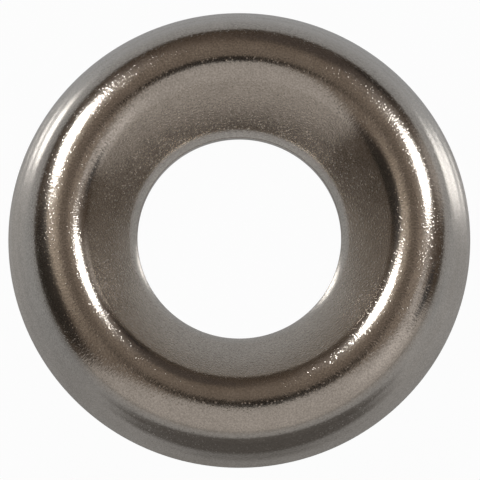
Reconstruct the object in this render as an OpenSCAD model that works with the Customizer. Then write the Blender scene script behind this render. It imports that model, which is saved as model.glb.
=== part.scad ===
// Finishing cup washer: one piece of thin sheet, drawn to a round crest about a countersunk cup.
// +Z is up, and the origin lies on the axis in the plane that the rim stands on. Millimetres.

/* [Overall] */
// Diameter over the rim
rim_d = 14.3; // [13.8:0.1:16]
// Height of the crest above the rim's foot
height = 2.5; // [2.2:0.05:2.8]
// Thickness of the sheet
sheet = 0.5; // [0.3:0.05:0.7]

/* [Screw seat] */
// Diameter of the hole that the screw passes through
hole_d = 6.3; // [5.6:0.1:6.8]
// Included angle of the countersunk cone
cone_angle = 82; // [80:1:92]
// Radius of the upper face where the cone turns down into the hole
lip_bend = 1.3; // [0.8:0.05:1.6]
// Slope from level that the lip's upper face has reached where the hole cuts it
lip_slope = 70; // [64:1:80]
// Length of the upright wall that piercing leaves in the hole
hole_land = 0.22; // [0.18:0.02:0.4]
// Gap that the hole's lip keeps above the rim's foot
lip_gap = 0.1; // [0.05:0.05:0.25]

/* [Crest and rim] */
// Radius of the upper face on the crest's inner side, from the cone to the top line
crest_inner = 1.05; // [0.9:0.05:1.2]
// Radius of the upper face on the crest's outer side, from the top line to the skirt
crest_outer = 1.2; // [1.05:0.05:1.35]
// Height at which the sloping skirt meets the upright edge of the rim
rim_land = 0.12; // [0.08:0.02:0.3]
// Width of the bevel that breaks the rim's outer corner
rim_break = 0.05; // [0.02:0.01:0.07]

/* [Hidden] */

nickel = [0.72, 0.70, 0.67];
round_steps = 180;
// Angle by which the halves of a bend lap past its middle
bend_lap = 4;

// The cone's slope is measured from level, and its run fills the drop that the two bends leave.
lip_top = lip_gap + hole_land;
cone_slope = 90 - cone_angle / 2;
cone_top = height - crest_inner * (1 - cos(cone_slope));
cone_foot = lip_top + lip_bend * (cos(cone_slope) - cos(lip_slope));
cone_len = (cone_top - cone_foot) / sin(cone_slope);

// Top line of the crest, reached from the hole outwards.
crest_x = hole_d / 2
    + lip_bend * (sin(lip_slope) - sin(cone_slope))
    + cone_len * cos(cone_slope)
    + crest_inner * sin(cone_slope);

// The skirt leaves the crest's outer bend along the tangent that ends on the rim's upright edge.
rim_reach = [rim_d / 2 - crest_x, rim_land - height + crest_outer];
skirt_slope = 90 - atan2(rim_reach[1], rim_reach[0]) - acos(crest_outer / norm(rim_reach));
skirt_len = sqrt(norm(rim_reach) ^ 2 - crest_outer ^ 2);
trim_stock = rim_land + sheet;

// A straight run of the sheet, its upper face along +X. Children carry on from its end.
module straight(len) {
    translate([0, -sheet]) square([len, sheet]);
    translate([len, 0]) children();
}

// The first part of a bend, square to its own end and running a little past the middle of the turn.
module half_bend(upper_r, turn) {
    reach = 4 * upper_r;
    intersection() {
        difference() {
            circle(upper_r, $fn = round_steps);
            circle(upper_r - sheet, $fn = round_steps);
        }
        translate([0, -reach / 2]) square(reach);
        rotate(-turn / 2 - bend_lap) translate([-reach, -reach / 2]) square(reach);
    }
}

// A bend of the sheet that turns downwards, with its radius on the upper face. Children carry on from its end.
module bend(upper_r, turn) {
    translate([0, -upper_r]) {
        half_bend(upper_r, turn);
        rotate(-turn) {
            mirror([1, 0]) half_bend(upper_r, turn);
            translate([0, upper_r]) children();
        }
    }
}

// The sheet followed from below the hole's edge, up the cone, over the crest and past the rim.
module drawn_sheet() {
    translate([hole_d / 2, lip_top]) rotate(lip_slope) translate([-trim_stock, 0])
        straight(trim_stock)
        bend(lip_bend, lip_slope - cone_slope)
        straight(cone_len)
        bend(crest_inner, cone_slope)
        bend(crest_outer, skirt_slope)
        straight(skirt_len + trim_stock);
}

// What piercing and trimming leave: an upright wall round the hole with a level foot, and at the rim
// a level foot, an upright edge and a broken corner between them.
module trimmed() {
    polygon([
        [hole_d / 2, lip_gap],
        [crest_x, lip_gap],
        [crest_x, 0],
        [rim_d / 2 - rim_break, 0],
        [rim_d / 2, rim_break],
        [rim_d / 2, 2 * height],
        [hole_d / 2, 2 * height]
    ]);
}

module cup_washer() {
    color(nickel)
        rotate_extrude($fn = round_steps)
            intersection() {
                drawn_sheet();
                trimmed();
            }
}

cup_washer();
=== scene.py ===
from math import acos, atan2, cos, hypot, pi, radians, sin, sqrt, tan

import bmesh
import bpy
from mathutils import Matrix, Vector


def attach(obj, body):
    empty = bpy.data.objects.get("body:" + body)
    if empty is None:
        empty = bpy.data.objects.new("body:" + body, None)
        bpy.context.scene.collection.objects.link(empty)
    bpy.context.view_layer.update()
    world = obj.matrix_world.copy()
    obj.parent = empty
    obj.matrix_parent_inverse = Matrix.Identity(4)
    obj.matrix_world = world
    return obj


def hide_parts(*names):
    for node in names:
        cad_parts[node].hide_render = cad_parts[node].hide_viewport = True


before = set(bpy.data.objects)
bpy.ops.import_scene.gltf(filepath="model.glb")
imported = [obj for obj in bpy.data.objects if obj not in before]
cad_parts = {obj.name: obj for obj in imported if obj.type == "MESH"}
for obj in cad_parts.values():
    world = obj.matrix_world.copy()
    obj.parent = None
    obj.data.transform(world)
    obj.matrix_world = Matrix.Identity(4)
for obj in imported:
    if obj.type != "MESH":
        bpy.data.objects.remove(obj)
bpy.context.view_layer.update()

mm = 0.001

# The washer: a disc of thin steel sheet, drawn in a press to a round crest with a countersunk cup inside,
# pierced for the screw, trimmed at the rim and then plated with bright nickel.
# Its section is followed from the foot of the hole's wall, up the cone, over the crest and down the skirt.
rim_r = 7.15 * mm
height = 2.5 * mm
sheet = 0.5 * mm
hole_r = 3.15 * mm
cone_slope = radians(47)
cone_crown = 80 * mm
crest_inner = 1.05 * mm
crest_outer = 1.3 * mm
lip_bend = 1.3 * mm
lip_slope = radians(71)
lip_gap = 0.1 * mm
hole_land = 0.3 * mm
rim_land = 0.12 * mm
edge_round = 0.05 * mm
skirt_belly = radians(5.5)
skirt_wave = radians(2)
skirt_waves = 3
skirt_steps = 25
steps_around = 384
merge_reach = 0.0005 * mm
corner_reach = 0.002 * mm

# Middles of the bends of the lip and of the crest's two sides, which meet along its top line.
lip = Vector((hole_r + lip_bend * sin(lip_slope), 0, lip_gap + hole_land - lip_bend * cos(lip_slope)))
cone_foot = lip.z + lip_bend * cos(cone_slope)
cone_top = height - crest_inner * (1 - cos(cone_slope))
cone_run = (cone_top - cone_foot) / tan(cone_slope)
crest_r = lip.x + (crest_inner - lip_bend) * sin(cone_slope) + cone_run
inner = Vector((crest_r, 0, height - crest_inner))
outer = Vector((crest_r, 0, height - crest_outer))

# Slope of the straight line that leaves the crest's outer bend and ends on the rim's upright edge.
rim_dx = rim_r - outer.x
rim_dz = rim_land - outer.z
skirt_slope = pi / 2 - atan2(rim_dz, rim_dx) - acos(crest_outer / hypot(rim_dx, rim_dz))

# The press leaves the cone very slightly crowned: a wide bend that meets the bends of lip and crest.
across = inner - lip
to_lip = cone_crown - lip_bend
to_crest = cone_crown - crest_inner
along_cone = (to_lip ** 2 - to_crest ** 2 + across.length_squared) / (2 * across.length)
below_cone = sqrt(to_lip ** 2 - along_cone ** 2)
ahead = across.normalized()
crown = lip + ahead * along_cone + Vector((ahead.z, 0, -ahead.x)) * below_cone
foot_slope = atan2(crown.x - lip.x, lip.z - crown.z)
top_slope = atan2(crown.x - inner.x, inner.z - crown.z)


def run_straight(bm, tip, slope, length, steps=1):
    """The section carries on in a straight line that rises at that slope."""
    for _ in range(steps):
        made = bmesh.ops.extrude_vert_indiv(bm, verts=[tip])["verts"]
        step = Vector((cos(slope), 0, sin(slope))) * (length / steps)
        bmesh.ops.translate(bm, verts=made, vec=step)
        tip = made[0]
    return tip


def run_bend(bm, tip, centre, turn, steps):
    """The section carries on round a bend that turns downwards."""
    made = bmesh.ops.spin(bm, geom=[tip], cent=centre, axis=(0, 1, 0), angle=turn, steps=steps)
    return next(part for part in made["geom_last"] if isinstance(part, bmesh.types.BMVert))


washer_bm = bmesh.new()
start = washer_bm.verts.new((hole_r, 0, lip_gap))
lip_edge = run_straight(washer_bm, start, pi / 2, hole_land, steps=2)
tip = run_bend(washer_bm, lip_edge, lip, lip_slope - foot_slope, steps=16)
tip = run_bend(washer_bm, tip, crown, foot_slope - top_slope, steps=16)
tip = run_bend(washer_bm, tip, inner, top_slope, steps=28)
tip = run_bend(washer_bm, tip, outer, skirt_slope - skirt_belly, steps=36)

# The skirt is faintly bellied, and the drawing ring leaves three low waves round it.
rim_edge = Vector((rim_r, 0, rim_land))
chord = rim_edge - tip.co
chord_slope = atan2(chord.z, chord.x)
skirt_turn = -skirt_slope + skirt_belly - chord_slope
for step in range(skirt_steps):
    along = (step + 0.5) / skirt_steps
    ripple = skirt_wave * cos(2 * skirt_waves * pi * along)
    slope = chord_slope + skirt_turn * (1 - 2 * along) + ripple
    tip = run_straight(washer_bm, tip, slope, chord.length / skirt_steps)
tip.co = rim_edge
rim_foot = run_straight(washer_bm, tip, -pi / 2, rim_land, steps=2)

# Under the rim the section turns back and follows the lower face home.
foot_width = sheet / sin(skirt_slope) - rim_land / tan(skirt_slope)
under_foot = run_straight(washer_bm, rim_foot, pi, foot_width, steps=2)
under_len = (outer.z + (crest_outer - sheet) * cos(skirt_slope)) / sin(skirt_slope)
tip = run_straight(washer_bm, under_foot, pi - skirt_slope, under_len, steps=8)
tip = run_bend(washer_bm, tip, outer, -skirt_slope, steps=18)
tip = run_bend(washer_bm, tip, inner, -top_slope, steps=14)
tip = run_bend(washer_bm, tip, crown, top_slope - foot_slope, steps=8)
tip = run_bend(washer_bm, tip, lip, foot_slope - lip_slope, steps=8)
back_len = (tip.co.z - lip_gap) / sin(lip_slope)
lip_back = run_straight(washer_bm, tip, pi + lip_slope, back_len, steps=2)
washer_bm.edges.new((lip_back, start))
corners = [corner.co.copy() for corner in (start, lip_edge, rim_foot, under_foot, lip_back)]

bmesh.ops.spin(
    washer_bm,
    geom=washer_bm.verts[:] + washer_bm.edges[:],
    cent=(0, 0, 0),
    axis=(0, 0, 1),
    angle=2 * pi,
    steps=steps_around,
    use_merge=True,
)
bmesh.ops.remove_doubles(washer_bm, verts=washer_bm.verts, dist=merge_reach)
bmesh.ops.recalc_face_normals(washer_bm, faces=washer_bm.faces)


def corner_of(vert):
    """The sharp corner of the section that a vertex lies on, or None."""
    for number, corner in enumerate(corners):
        if hypot(vert.co.xy.length - corner.x, vert.co.z - corner.z) < corner_reach:
            return number
    return None


sharp_edges = []
for edge in washer_bm.edges:
    first, second = (corner_of(vert) for vert in edge.verts)
    if first is not None and first == second:
        sharp_edges.append(edge)
bmesh.ops.bevel(
    washer_bm,
    geom=sharp_edges,
    offset=edge_round,
    offset_type="OFFSET",
    segments=3,
    profile=0.5,
    affect="EDGES",
    material=-1,
)
for face in washer_bm.faces:
    face.smooth = True

washer_mesh = bpy.data.meshes.new("cup_washer_sheet")
washer_bm.to_mesh(washer_mesh)
washer_bm.free()
washer = bpy.data.objects.new("cup_washer_sheet", washer_mesh)
bpy.context.collection.objects.link(washer)

nickel = bpy.data.materials.new("nickel_plate")
nickel.use_nodes = True
nodes = nickel.node_tree.nodes
links = nickel.node_tree.links
plate = nodes["Principled BSDF"]
plate.inputs["Metallic"].default_value = 1.0


def add_noise(scale, detail, vector):
    """A Noise Texture on the given coordinates; the scale is in grains per metre."""
    texture = nodes.new("ShaderNodeTexNoise")
    texture.inputs["Scale"].default_value = scale
    texture.inputs["Detail"].default_value = detail
    texture.inputs["Roughness"].default_value = 0.6
    links.new(vector, texture.inputs["Vector"])
    return texture.outputs["Fac"]


def add_range(value, low, high, to_low, to_high):
    """A smooth Map Range of a value."""
    fit = nodes.new("ShaderNodeMapRange")
    fit.interpolation_type = "SMOOTHSTEP"
    links.new(value, fit.inputs["Value"])
    for name, number in (("From Min", low), ("From Max", high), ("To Min", to_low), ("To Max", to_high)):
        fit.inputs[name].default_value = number
    return fit.outputs["Result"]


def add_math(operation, first, second, third=0.0):
    """A Math node; each term is a socket or a number."""
    node = nodes.new("ShaderNodeMath")
    node.operation = operation
    for socket, term in zip(node.inputs, (first, second, third)):
        if isinstance(term, bpy.types.NodeSocket):
            links.new(term, socket)
        else:
            socket.default_value = term
    return node.outputs[0]


def add_vector(operation, first, second=None):
    """A Vector Math node; each term is a socket, a number or three numbers."""
    node = nodes.new("ShaderNodeVectorMath")
    node.operation = operation
    second_socket = node.inputs["Scale"] if operation == "SCALE" else node.inputs[1]
    for socket, term in ((node.inputs[0], first), (second_socket, second)):
        if isinstance(term, bpy.types.NodeSocket):
            links.new(term, socket)
        elif term is not None:
            socket.default_value = term
    return node.outputs["Value" if operation in ("LENGTH", "DISTANCE", "DOT_PRODUCT") else "Vector"]


def add_tint(share, first, second):
    """A colour Mix node; each colour is a socket or three numbers."""
    mix = nodes.new("ShaderNodeMix")
    mix.data_type = "RGBA"
    links.new(share, mix.inputs[0])
    for socket, color in ((mix.inputs[6], first), (mix.inputs[7], second)):
        if isinstance(color, bpy.types.NodeSocket):
            links.new(color, socket)
        else:
            socket.default_value = (*color, 1)
    return mix.outputs[2]


place = nodes.new("ShaderNodeTexCoord").outputs["Object"]
flat = add_vector("MULTIPLY", place, (1, 1, 0))
radius = add_vector("LENGTH", flat)
cup_full = 4.4 * mm
cup_gone = 5.0 * mm
in_cup = add_range(radius, cup_full, cup_gone, 1.0, 0.0)

# Drawing the sheet over the crest pulls its grain out along the radius; in the cup the grain stays even.
crest_ring = 5.4 * mm
radial_pull = 0.5
grain_scale = 16000
drawn_depth = 0.6
even_depth = 0.5
around = add_vector("SCALE", add_vector("NORMALIZE", flat), crest_ring)
outward = nodes.new("ShaderNodeCombineXYZ")
links.new(add_math("MULTIPLY", radius, radial_pull), outward.inputs["Z"])
drawn = add_vector("ADD", around, outward.outputs[0])
drawn_grain = add_math("MULTIPLY", add_noise(grain_scale, detail=2, vector=drawn), drawn_depth)
even_grain = add_math("MULTIPLY", add_noise(grain_scale, detail=2, vector=place), even_depth)
grain = nodes.new("ShaderNodeMix")
links.new(in_cup, grain.inputs[0])
links.new(drawn_grain, grain.inputs[2])
links.new(even_grain, grain.inputs[3])

# Small round bumps stand in the plate among the grain; their reach is a share of the bumps' spacing.
bump_reach = 0.35
bump_height = 0.52
cells = nodes.new("ShaderNodeTexVoronoi")
cells.inputs["Scale"].default_value = 11000
links.new(place, cells.inputs["Vector"])
bumps = add_range(cells.outputs["Distance"], 0.0, bump_reach, bump_height, 0.0)
relief = nodes.new("ShaderNodeBump")
relief.inputs["Strength"].default_value = 1.0
relief.inputs["Distance"].default_value = 0.007 * mm
links.new(add_math("ADD", grain.outputs[0], bumps), relief.inputs["Height"])
links.new(relief.outputs["Normal"], plate.inputs["Normal"])

# The plate's colour is finely speckled, and its gloss changes in soft clouds.
bloom = add_noise(scale=1500, detail=4, vector=place)
fine = add_noise(scale=18000, detail=2, vector=place)
speckle = add_math("MULTIPLY_ADD", fine, 0.8, add_math("MULTIPLY", bloom, 0.2))
speckle = add_range(speckle, 0.2, 0.8, 0.0, 1.0)
tone = add_tint(speckle, (0.50, 0.46, 0.41), (0.82, 0.76, 0.69))
satin = add_math("MULTIPLY_ADD", in_cup, 0.02, 0.14)
links.new(add_math("MULTIPLY_ADD", bloom, 0.08, satin), plate.inputs["Roughness"])

# Two small brown stains have set into the plate low on the skirt's near left.
first_middle = (-6.27 * mm, -2.80 * mm, 0.55 * mm)
second_middle = (-6.07 * mm, -3.26 * mm, 0.5 * mm)
first_stain = add_range(add_vector("DISTANCE", place, first_middle), 0.06 * mm, 0.2 * mm, 0.8, 0.0)
second_stain = add_range(add_vector("DISTANCE", place, second_middle), 0.04 * mm, 0.16 * mm, 0.6, 0.0)
stained = add_tint(add_math("MAXIMUM", first_stain, second_stain), tone, (0.10, 0.07, 0.05))
links.new(stained, plate.inputs["Base Color"])

washer.data.materials.append(nickel)
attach(washer, "root")
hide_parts("cup_washer")

# The table: a polished sheet that the washer lies on, shown as plain white around it.
# It is wide enough to meet the horizon from any side, a hair below the rim's foot, and clear from below.
table_half = 3.0
table_gap = 0.005 * mm
white_share = 0.97
mirrored_share = 0.2
table_bm = bmesh.new()
bmesh.ops.create_grid(table_bm, x_segments=1, y_segments=1, size=table_half)
bmesh.ops.translate(table_bm, verts=table_bm.verts, vec=(0, 0, -table_gap))
table_mesh = bpy.data.meshes.new("table")
table_bm.to_mesh(table_mesh)
table_bm.free()
table = bpy.data.objects.new("table", table_mesh)
bpy.context.collection.objects.link(table)

table_white = bpy.data.materials.new("table_white")
table_white.use_nodes = True
nodes = table_white.node_tree.nodes
links = table_white.node_tree.links
top = nodes["Principled BSDF"]
top.inputs["Roughness"].default_value = 0.18
top.inputs["IOR"].default_value = 2.6

# Painted shade on the table: its colour darkens towards the viewer, and a dark crescent of painted shadow
# lies at the near side between two circles.
spot = nodes.new("ShaderNodeTexCoord").outputs["Object"]
far_middle = (-0.42 * mm, 4.8 * mm, 0)
near_middle = (0.43 * mm, -5.6 * mm, 0)
beyond = add_range(add_vector("DISTANCE", spot, far_middle), 12.2 * mm, 13.0 * mm, 0.0, 1.0)
within = add_range(add_vector("DISTANCE", spot, near_middle), 5.2 * mm, 7.2 * mm, 1.0, 0.0)
painted_crescent_shadow = add_math("MULTIPLY", beyond, within)
painted_near_dimming = add_range(add_vector("DOT_PRODUCT", spot, (0, 1, 0)), -10 * mm, -1 * mm, 0.62, 1.0)
shade = add_math("MULTIPLY", painted_near_dimming, add_math("MULTIPLY_ADD", painted_crescent_shadow, -1.0, 1.0))
links.new(add_tint(shade, (0.02, 0.02, 0.02), (0.33, 0.375, 0.425)), top.inputs["Base Color"])

# The camera and clear things see it as white; metal mirrors a share of that white, darkened by the same
# painted shade.
lit = nodes.new("ShaderNodeEmission")
lit.inputs["Color"].default_value = (1, 1, 1, 1)
lit.inputs["Strength"].default_value = 1.0
path = nodes.new("ShaderNodeLightPath")
seen = add_math("MAXIMUM", path.outputs["Is Camera Ray"], path.outputs["Is Transmission Ray"])
seen = add_math("MULTIPLY", seen, white_share)
mirrored = add_math("MULTIPLY", path.outputs["Is Glossy Ray"], add_math("MULTIPLY", shade, mirrored_share))
white = nodes.new("ShaderNodeMixShader")
links.new(add_math("MAXIMUM", seen, mirrored), white.inputs[0])
links.new(top.outputs[0], white.inputs[1])
links.new(lit.outputs[0], white.inputs[2])

side = nodes.new("ShaderNodeNewGeometry")
from_below = add_math("MAXIMUM", side.outputs["Backfacing"], path.outputs["Transparent Depth"])
clear = nodes.new("ShaderNodeBsdfTransparent")
one_way = nodes.new("ShaderNodeMixShader")
links.new(from_below, one_way.inputs[0])
links.new(white.outputs[0], one_way.inputs[1])
links.new(clear.outputs[0], one_way.inputs[2])
links.new(one_way.outputs[0], nodes["Material Output"].inputs["Surface"])
table.data.materials.append(table_white)

# The room that the plated faces mirror: a pale beige field behind the viewer and a brown one over the
# far side, each shaded from the horizon upwards, with lighter and darker patches in them.
room = bpy.data.worlds.new("room")
bpy.context.scene.world = room
room.use_nodes = True
nodes = room.node_tree.nodes
links = room.node_tree.links
sky = nodes["Background"]
towards = nodes.new("ShaderNodeTexCoord").outputs["Generated"]


def direction(azimuth, elevation):
    """The unit vector towards an azimuth, from +X, and an elevation, both in degrees."""
    a, e = radians(azimuth), radians(elevation)
    return Vector((cos(e) * cos(a), cos(e) * sin(a), sin(e)))


def add_ramp(value, stops):
    """A Color Ramp with the given stops in rising order, the first one at 0."""
    ramp = nodes.new("ShaderNodeValToRGB")
    links.new(value, ramp.inputs[0])
    elements = ramp.color_ramp.elements
    elements.remove(elements[1])
    elements[0].color = (*stops[0][1], 1)
    for position, color in stops[1:]:
        elements.new(position).color = (*color, 1)
    return ramp.outputs["Color"]


up = add_vector("DOT_PRODUCT", towards, (0, 0, 1))
far_wall = add_ramp(up, (
    (0.0, (0.050, 0.039, 0.030)),
    (0.26, (0.075, 0.056, 0.042)),
    (0.50, (0.110, 0.085, 0.067)),
    (0.71, (0.158, 0.126, 0.101)),
    (0.90, (0.172, 0.139, 0.113)),
    (1.0, (0.150, 0.122, 0.100)),
))
near_wall = add_ramp(up, (
    (0.0, (0.08, 0.074, 0.068)),
    (0.05, (0.30, 0.28, 0.265)),
    (0.10, (0.395, 0.37, 0.35)),
    (0.30, (0.405, 0.38, 0.362)),
    (0.80, (0.405, 0.38, 0.362)),
    (1.0, (0.37, 0.35, 0.335)),
))

# The near field ends at two planes, one on the left and one on the right, which both lean a little.
left_edge = add_vector("DOT_PRODUCT", towards, (0.537, -0.843, -0.108))
right_edge = add_vector("DOT_PRODUCT", towards, (-0.208, -0.978, -0.122))
is_near = add_range(add_math("MINIMUM", left_edge, right_edge), -0.03, 0.05, 0.0, 1.0)
wall = add_tint(is_near, far_wall, near_wall)

# Each patch has an azimuth, an elevation and two angles from there between which it fades, in degrees,
# and a colour.
for azimuth, elevation, full, gone, color in (
    (156, 53, 4, 24, (0.40, 0.34, 0.28)),
    (20, 62, 4, 22, (0.25, 0.205, 0.17)),
    (295, 84, 8.5, 11.5, (0.006, 0.005, 0.004)),
    (186, 25, 17, 28, (0.028, 0.024, 0.020)),
    (72, 25, 8, 24, (0.068, 0.055, 0.048)),
    (334, 33, 3, 22, (0.56, 0.53, 0.51)),
    (351, 26, 5, 11, (0.030, 0.030, 0.032)),
    (354, 50, 2, 9, (0.50, 0.48, 0.47)),
    (26, 9, 3, 16, (0.36, 0.33, 0.31)),
    (54, 12, 4, 11, (0.022, 0.019, 0.017)),
):
    towards_patch = add_vector("DOT_PRODUCT", towards, direction(azimuth, elevation))
    in_patch = add_range(towards_patch, cos(radians(gone)), cos(radians(full)), 0.0, 1.0)
    wall = add_tint(in_patch, wall, color)

# Below the table the room is plain grey, which only a view from underneath shows.
below = add_range(up, -0.08, -0.02, 1.0, 0.0)
links.new(add_tint(below, wall, (0.45, 0.45, 0.45)), sky.inputs["Color"])

# Two oval soft boxes over the far side of the table, one to the left and one to the right.
box_reach = 0.35
for name, azimuth, elevation, radiance in (("left", 140, 39, 14), ("right", 31, 44, 9)):
    box = bpy.data.lights.new("soft_box_" + name, "AREA")
    box.shape = "ELLIPSE"
    box.size = 0.086
    box.size_y = 0.128
    box.energy = radiance * pi * (pi * box.size * box.size_y / 4)
    lamp = bpy.data.objects.new("soft_box_" + name, box)
    lamp.location = direction(azimuth, elevation) * box_reach
    lamp.rotation_euler = lamp.location.to_track_quat("Z", "Y").to_euler()
    lamp.visible_camera = False
    bpy.context.collection.objects.link(lamp)

# The camera: a long lens from above the near side, ten degrees off the washer's axis.
tilt = radians(10.42)
reach = 0.55
aim = Vector((0.0217, 0.0146, 0)) * mm
lens = bpy.data.cameras.new("long_lens")
lens.sensor_width = 36
lens.lens = 1332.3
lens.clip_start = 0.005
lens.clip_end = 20
camera = bpy.data.objects.new("camera", lens)
back = Vector((0, -sin(tilt), cos(tilt)))
camera.location = aim + back * reach
camera.rotation_euler = back.to_track_quat("Z", "Y").to_euler()
bpy.context.collection.objects.link(camera)
bpy.context.scene.camera = camera
bpy.context.scene.view_settings.view_transform = "Standard"
